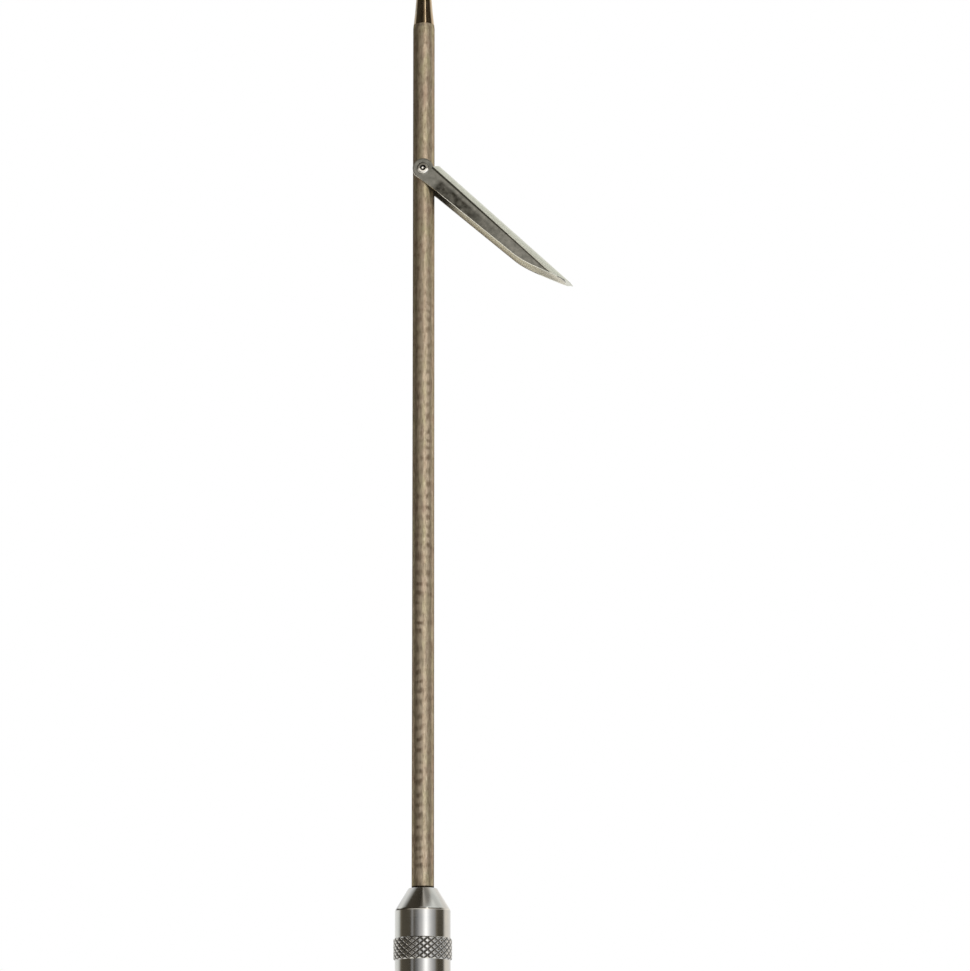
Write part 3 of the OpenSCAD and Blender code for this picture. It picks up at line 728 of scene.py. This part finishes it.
def finish(name, mesh, body, slot, material, *replaced):
    """Makes a piece of a mesh, rides it on its body and lets it stand for CAD nodes."""
    data = bpy.data.meshes.new(name)
    mesh.to_mesh(data)
    mesh.free()
    data.shade_smooth()
    data.set_sharp_from_angle(angle=math.radians(SMOOTH_BELOW))
    data.materials.append(material)
    piece = bpy.data.objects.new(name, data)
    bpy.context.scene.collection.objects.link(piece)
    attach(piece, body)
    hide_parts(*replaced)
    print(name, "has", len(data.polygons), "faces")
    return piece


# %% [markdown]
# A diamond knurl is pressed in by two wheels whose teeth run in opposite slants. Where the slants
# cross they leave diamonds with blunt tops. Here the band's wall is a fine grid, and each of its
# points is lifted by how far it lies from the nearest groove of either slant. That gives crisp
# diamonds from one short rule, and no diamond has to be placed by hand.

# %% The knurl
KNURL_COUNT, KNURL_DIAMOND, KNURL_DEPTH, KNURL_LEN = 23, 2.08, 0.45, 7.8
KNURL_ROOT, KNURL_RIM = 0.05, 0.4
GROOVE_BOTTOM, GROOVE_HALF = 0.3, 0.5
GRID_PER_DIAMOND = 16
ON_THE_WALL, OFF_THE_RIMS = 0.001, 0.01
BAND_STEPS = KNURL_COUNT * GRID_PER_DIAMOND
BAND_ROWS = round(KNURL_LEN / KNURL_DIAMOND * GRID_PER_DIAMOND)


def band_outline(body_r, start):
    """The band's straight wall, as rows of points from its lower rim up."""
    return [(body_r + KNURL_ROOT, start + KNURL_LEN * row / BAND_ROWS) for row in range(BAND_ROWS + 1)]


def press_knurl(mesh, body_r, start):
    """Lifts a band that starts at this height into diamonds, and marks its grooves for painted shade."""
    recess_shade = mesh.verts.layers.float.new("recess_shade")
    for vertex in mesh.verts:
        r, z = vertex.co.xy.length / MM, vertex.co.z / MM - start
        if abs(r - body_r - KNURL_ROOT) > ON_THE_WALL or not OFF_THE_RIMS < z < KNURL_LEN - OFF_THE_RIMS:
            continue
        along = z / KNURL_DIAMOND
        round_band = math.atan2(vertex.co.y, vertex.co.x) / (2 * math.pi) * KNURL_COUNT
        from_groove = min(1 - 2 * abs(s - round(s)) for s in (round_band + along, round_band - along))
        lift = GROOVE_BOTTOM + (1 - GROOVE_BOTTOM) * min(1, from_groove / GROOVE_HALF)
        lift *= min(1, z / KNURL_RIM, (KNURL_LEN - z) / KNURL_RIM)
        vertex.co.xy *= (r + KNURL_DEPTH * lift) / r
        # The grooves are marked here for painted shade.
        vertex[recess_shade] = 1 - min(1, from_groove / GROOVE_HALF)


print("knurl grid:", BAND_STEPS, "by", BAND_ROWS)

# %% [markdown]
# The couplings are M12 screws. A thread is a ridge that climbs round a core: a four-sided section
# is spun with a small rise at each step. The ridge is drawn in to the stud's chamfer at its end
# and to its neck at its start, as a die leaves it, and its foot is sunk into the core.

# %% The coupling screw
THREAD_R, THREAD_CORE_R, THREAD_PITCH = 5.95, 4.9, 1.75
THREAD_FOOT, THREAD_CREST, THREAD_SUNK = 0.42 * THREAD_PITCH, 0.09 * THREAD_PITCH, 0.2
NECK_R, NECK_LEN, NECK_STEP = 5.0, 3.0, 0.1
STUD_LEN, STUD_END_R, STUD_CHAMFER = 16.0, 4.2, 0.7
FIRST_RIDGE, RUN_OUT, BELOW_THE_CONE = 0.1, 1.2, 0.05
THREAD_STEPS_A_TURN = 72


def stud_outline():
    """The screw's core and neck, hanging from height 0, from its end up."""
    return [(0, -STUD_LEN), (STUD_END_R, -STUD_LEN), (THREAD_CORE_R, STUD_CHAMFER - STUD_LEN),
            (THREAD_CORE_R, -NECK_LEN - NECK_STEP), (NECK_R, -NECK_LEN), (NECK_R, 0)]


def add_thread(mesh):
    """Adds the ridge of the thread to a stud that hangs from height 0."""
    low = -STUD_LEN + FIRST_RIDGE
    turns = (STUD_LEN - NECK_LEN - RUN_OUT) / THREAD_PITCH
    sunk_r = THREAD_CORE_R - THREAD_SUNK
    section = [(sunk_r, -THREAD_FOOT), (THREAD_R, -THREAD_CREST),
               (THREAD_R, THREAD_CREST), (sunk_r, THREAD_FOOT)]
    corners = [mesh.verts.new((r * MM, 0, (low + THREAD_FOOT + z) * MM)) for r, z in section]
    sides = [mesh.edges.new((a, b)) for a, b in zip(corners, corners[1:] + corners[:1])]
    steps = round(turns * THREAD_STEPS_A_TURN)
    rise = turns * THREAD_PITCH / steps
    swept = bmesh.ops.spin(mesh, geom=corners + sides, cent=(0, 0, 0), axis=(0, 0, 1),
                           dvec=(0, 0, rise * MM), angle=2 * math.pi * turns, steps=steps)
    last = [g for g in swept["geom_last"] if isinstance(g, bmesh.types.BMVert)]
    order = sorted(last, key=lambda v: math.atan2(v.co.z - last[0].co.z, v.co.xy.length))
    ends = [mesh.faces.new(corners), bmesh.ops.contextual_create(mesh, geom=order)["faces"][0]]
    ridge = set(ends)
    grown = list(ends)
    while grown:
        near = {f for face in grown for edge in face.edges for f in edge.link_faces} - ridge
        ridge |= near
        grown = list(near)
    for vertex in {v for face in ridge for v in face.verts}:
        r, z = vertex.co.xy.length / MM, vertex.co.z / MM
        tallest = min(THREAD_R, NECK_R + z + STUD_LEN - BELOW_THE_CONE,
                      NECK_R - BELOW_THE_CONE - z - NECK_LEN)
        if r > tallest:
            vertex.co.xy *= tallest / r
    bmesh.ops.recalc_face_normals(mesh, faces=list(ridge))
    return len(ridge)


print("turns of thread:", round((STUD_LEN - NECK_LEN - RUN_OUT) / THREAD_PITCH, 2))

# %% [markdown]
# The adapter joins the thin shaft to the thick pole. In one lathe cut it has the stud, a shoulder,
# a plain body with the knurled band for the fingers, a rounded edge, a cone, and a flat nose that
# is bored for the shaft's tail. Its outline is a single line from the stud's end to the bottom of
# the bore, so it spins into one closed body.

# %% The adapter's outline
ADAPTER_LEN = NOSE_Z - SHOULDER_Z
FLANGE_CHAMFER, NOSE_R, NOSE_LEN, NOSE_ROUND = 0.6, 5.1, 7.7, 2.0
KNURL_FROM_NOSE, TAIL_BORE_R, TAIL_BORE_LEN, DRILL_POINT = 17.6, 3.0, 21.0, 1.2
adapter_band = ADAPTER_LEN - KNURL_FROM_NOSE - KNURL_LEN
lean = math.atan((ADAPTER_R - NOSE_R) / NOSE_LEN)
round_z = ADAPTER_LEN - NOSE_LEN - NOSE_ROUND * math.tan(lean / 2)
round_steps = [lean * i / 6 for i in range(7)]
rounded = [(ADAPTER_R - NOSE_ROUND * (1 - math.cos(a)), round_z + NOSE_ROUND * math.sin(a))
           for a in round_steps]
adapter_outline = (
    stud_outline()
    + [(ADAPTER_R - FLANGE_CHAMFER, 0), (ADAPTER_R, FLANGE_CHAMFER), (ADAPTER_R, adapter_band)]
    + band_outline(ADAPTER_R, adapter_band)
    + [(ADAPTER_R, adapter_band + KNURL_LEN)]
    + rounded
    + [(NOSE_R, ADAPTER_LEN), (TAIL_BORE_R, ADAPTER_LEN)]
    + [(TAIL_BORE_R, ADAPTER_LEN - TAIL_BORE_LEN), (0, ADAPTER_LEN - TAIL_BORE_LEN - DRILL_POINT)]
)
print("outline points:", len(adapter_outline), "band from", round(adapter_band, 2), "mm above the shoulder")

# %% [markdown]
# The corners are broken before the knurl is pressed, and only clear of its band: there the grid of
# points has to stay as it is. The thread comes last, and then the whole goes up to its shoulder.

# %% The adapter
ADAPTER_CORNER, CLEAR_OF_BAND = 0.12, 0.1


def off_band(edge):
    """Whether an edge lies clear of the knurled band."""
    from_band_middle = [abs(v.co.z / MM - adapter_band - KNURL_LEN / 2) for v in edge.verts]
    return min(from_band_middle) > KNURL_LEN / 2 + CLEAR_OF_BAND


adapter = turn(adapter_outline, BAND_STEPS)
print("broken edges:", break_edges(adapter, ADAPTER_CORNER, only=off_band))
press_knurl(adapter, ADAPTER_R, adapter_band)
print("thread faces:", add_thread(adapter))
bmesh.ops.translate(adapter, verts=adapter.verts, vec=(0, 0, SHOULDER_Z * MM))
finish("turned_adapter", adapter, "spear_head", "turned_steel", turned_steel, "shaft_adapter")

# %% [markdown]
# Two more fittings get the same treatment. The rear tube's socket carries its own knurled band, so
# that both halves of the pole can be gripped at the coupling. Its spigot goes deep into the tube,
# with a groove for the seal, and can't be seen.

# %% The rear tube's socket
RECESS_R, RECESS_LEN, SOCKET_R, SOCKET_LEN = 7.1, 2.15, 6.0, 18.0
SPIGOT_LEN, SPIGOT_CHAMFER, TUBE_BORE_R = 30.0, 0.8, POLE_R - 1.5
GROOVE_AT, GROOVE_W, GROOVE_R = 25.0, 2.375, 6.065
SPIGOT_R = TUBE_BORE_R - 0.03


def spigot_outline():
    """The spigot above a flange at height 0, from its flange to its end."""
    half = GROOVE_W / 2
    return [(SPIGOT_R, 0), (SPIGOT_R, GROOVE_AT - half), (GROOVE_R, GROOVE_AT - half),
            (GROOVE_R, GROOVE_AT + half), (SPIGOT_R, GROOVE_AT + half),
            (SPIGOT_R, SPIGOT_LEN - SPIGOT_CHAMFER), (SPIGOT_R - SPIGOT_CHAMFER, SPIGOT_LEN),
            (0, SPIGOT_LEN)]


rear_flange = COUPLING_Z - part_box("rear_tube")[1].z / MM
socket_band = (rear_flange - KNURL_LEN) / 2
recess_z, socket_z = rear_flange - RECESS_LEN, rear_flange - SOCKET_LEN
socket_outline = (
    [(r, -z) for r, z in reversed(spigot_outline())]
    + [(POLE_R - FLANGE_CHAMFER, 0), (POLE_R, FLANGE_CHAMFER), (POLE_R, socket_band)]
    + band_outline(POLE_R, socket_band)
    + [(POLE_R, socket_band + KNURL_LEN), (POLE_R, rear_flange - FLANGE_CHAMFER)]
    + [(POLE_R - FLANGE_CHAMFER, rear_flange), (RECESS_R, rear_flange), (RECESS_R, recess_z)]
    + [(SOCKET_R, recess_z), (SOCKET_R, socket_z), (0, socket_z)]
)
socket = turn(socket_outline, BAND_STEPS)
press_knurl(socket, POLE_R, socket_band)
bmesh.ops.translate(socket, verts=socket.verts, vec=(0, 0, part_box("rear_tube")[1].z))
finish("knurled_socket", socket, "rear_section", "turned_steel", turned_steel, "rear_tube_socket")

# %% [markdown]
# The front tube's stud has the same screw as the adapter below its flange, and above it the same
# spigot as the socket.

# %% The front tube's stud
STUD_STEPS = 144
stud_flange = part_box("front_tube")[0].z / MM - COUPLING_Z
whole_stud_outline = (
    stud_outline()
    + [(POLE_R - FLANGE_CHAMFER, 0), (POLE_R, FLANGE_CHAMFER), (POLE_R, stud_flange - FLANGE_CHAMFER)]
    + [(POLE_R - FLANGE_CHAMFER, stud_flange)]
    + [(r, z + stud_flange) for r, z in spigot_outline()]
)
stud = turn(whole_stud_outline, STUD_STEPS)
print("thread faces:", add_thread(stud))
bmesh.ops.translate(stud, verts=stud.verts, vec=(0, 0, COUPLING_Z * MM))
finish("threaded_stud", stud, "front_section", "turned_steel", turned_steel, "front_tube_stud")

# %% [markdown]
# The barb's shape is already true: a channel bent from one sheet. What it lacks are the rounded
# edges that a tumbled part has. So a copy of its mesh is merged, and its flat faces are joined
# again. Then each face is told apart for the finish: those looking into the channel are its lining,
# and the free rims get a painted highlight on the near cheek and painted shade on the far one.

# %% The faces of the barb
CHEEK_IN, BACK_IN, NEAR_ENOUGH = 4.14, 4.37, 0.05
RIM_LEN, RIM_FACES_OUT = 58, -0.7
barb = bmesh.new()
barb.from_mesh(NODES["flopper_barb"].data)
bmesh.ops.remove_doubles(barb, verts=barb.verts, dist=0.001 * MM)
bmesh.ops.dissolve_limit(barb, angle_limit=math.radians(0.5), verts=barb.verts, edges=barb.edges)
inside = barb.faces.layers.float.new("inside")
painted_highlight = barb.faces.layers.float.new("painted_highlight")
shaded = barb.faces.layers.float.new("shaded")
out_of_back = Vector((math.cos(BARB_ANGLE), 0, math.sin(BARB_ANGLE)))
to_point = Vector((math.sin(BARB_ANGLE), 0, -math.cos(BARB_ANGLE)))
for face in barb.faces:
    place = face.calc_center_median() / MM - Vector((0, 0, RIVET_Z))
    in_channel = abs(place.y) < CHEEK_IN + NEAR_ENOUGH and place.dot(out_of_back) < BACK_IN + NEAR_ENOUGH
    from_middle_line = place - place.dot(to_point) * to_point
    if in_channel and face.normal.dot(from_middle_line) < 0:
        face[inside] = 1.0
    elif face.normal.dot(out_of_back) < RIM_FACES_OUT and place.dot(to_point) < RIM_LEN:
        # The near cheek's free rim is marked for a painted highlight, the far cheek's for painted shade.
        face[painted_highlight if place.y < 0 else shaded] = 1.0
print("barb faces:", len(barb.faces), "inside:", sum(face[inside] > 0 for face in barb.faces))

# %% [markdown]
# Now its corners are broken by a tenth of a millimetre. The free rim of the near cheek is rounded
# more, by 0.6 mm, and with the painted highlight on the new faces it shows as one bright line. A
# weighted-normal modifier keeps the flat cheeks looking flat beside the narrow bevels.

# %% The barb
NEAR_RIM_ROUND, CORNER_ROUND, CORNER_ANGLE, TOUCHING = 0.6, 0.1, 35, 0.01
outer_y = min(vertex.co.y for vertex in barb.verts)


def is_near_rim(edge):
    """Whether an edge lies on the outer face of the near cheek, along its free rim."""
    outside = all(v.co.y < outer_y + TOUCHING * MM for v in edge.verts)
    return outside and any(f.normal.dot(out_of_back) < RIM_FACES_OUT for f in edge.link_faces)


rim_edges = break_edges(barb, NEAR_RIM_ROUND, sharper_than=CORNER_ANGLE, only=is_near_rim, steps=4)
print("rim edges broken:", rim_edges)
print("barb edges broken:", break_edges(barb, CORNER_ROUND, sharper_than=CORNER_ANGLE))
bent_barb = finish("bent_barb", barb, "barb", "barb_steel", barb_steel, "flopper_barb")
evened = bent_barb.modifiers.new("evened", "WEIGHTED_NORMAL")
evened.keep_sharp = True

# %% [markdown]
# The rivet is a plain pin with a low round-edged head at each end. The punch left a dish in the
# middle of each head. The dish is painted dark as shade, but its bottom is painted bright as a
# highlight, and so is the lower side of the head's rim. The rivet is turned like the rest, and its
# faces are told apart, before it is laid across the shaft.

# %% The rivet
RIVET_R, HEAD_R, HEAD_H, HEAD_ROUND, DISH_R, DISH_DEPTH = 1.5, 2.2, 0.9, 0.5, 1.1, 0.55
HIGHLIGHT_R, HIGHLIGHT_BELOW, RIVET_STEPS = 0.4, -0.4, 64
under_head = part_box("barb_rivet")[1].y / MM - HEAD_H
ball = (DISH_R ** 2 + DISH_DEPTH ** 2) / (2 * DISH_DEPTH)
dish_half = math.asin(DISH_R / ball)
dish_steps = [dish_half * i / 8 for i in range(9)]
dish = [(ball * math.sin(a), HEAD_H - DISH_DEPTH + ball * (1 - math.cos(a))) for a in dish_steps]
rim_steps = [math.radians(a) for a in range(90, -1, -15)]
rim = [(HEAD_R - HEAD_ROUND * (1 - math.cos(a)), HEAD_H - HEAD_ROUND * (1 - math.sin(a))) for a in rim_steps]
head = [(r, under_head + z) for r, z in dish + rim + [(HEAD_R, 0), (RIVET_R, 0)]]
rivet = turn([(r, -z) for r, z in head] + head[::-1], RIVET_STEPS)
painted_highlight = rivet.faces.layers.float.new("painted_highlight")
recess_shade = rivet.faces.layers.float.new("recess_shade")
for face in rivet.faces:
    middle = face.calc_center_median() / MM
    from_axis = middle.xy.length
    # The dish's bottom and the lower side of the head's rim get the painted highlight, the rest of the dish
    # painted shade.
    if from_axis < HIGHLIGHT_R or from_axis > DISH_R + NEAR_ENOUGH and middle.y < HIGHLIGHT_BELOW:
        face[painted_highlight] = 1.0
    elif from_axis < DISH_R + NEAR_ENOUGH:
        face[recess_shade] = 1.0
bmesh.ops.rotate(rivet, verts=rivet.verts, cent=(0, 0, 0), matrix=Matrix.Rotation(math.pi / 2, 3, "X"))
bmesh.ops.translate(rivet, verts=rivet.verts, vec=(0, 0, RIVET_Z * MM))
finish("headed_rivet", rivet, "spear_head", "rivet_steel", rivet_steel, "barb_rivet")

# %% [markdown]
# All other parts keep their own shape and only get their finish: their loose triangles already
# point the right way, so their meshes are left alone.

# %% Finishes on the other parts
DRESSED = {
    "spear_point": point_steel,
    "front_shaft": shaft_steel,
    "front_tube_socket": turned_steel,
    "front_tube": tube_aluminium,
    "rear_tube": tube_aluminium,
    "front_tube_pins": pin_steel,
    "rear_tube_pins": pin_steel,
    "adapter_o_ring": seal_rubber,
    "coupling_o_ring": seal_rubber,
    "front_tube_seals": seal_rubber,
    "rear_tube_seals": seal_rubber,
    "butt_plug": butt_plastic,
    "sling_bush": bush_steel,
}
for name, material in DRESSED.items():
    node = NODES[name]
    if not node.material_slots:
        node.data.materials.append(material)
    for place in node.material_slots:
        place.material = material
print("dressed:", len(DRESSED))
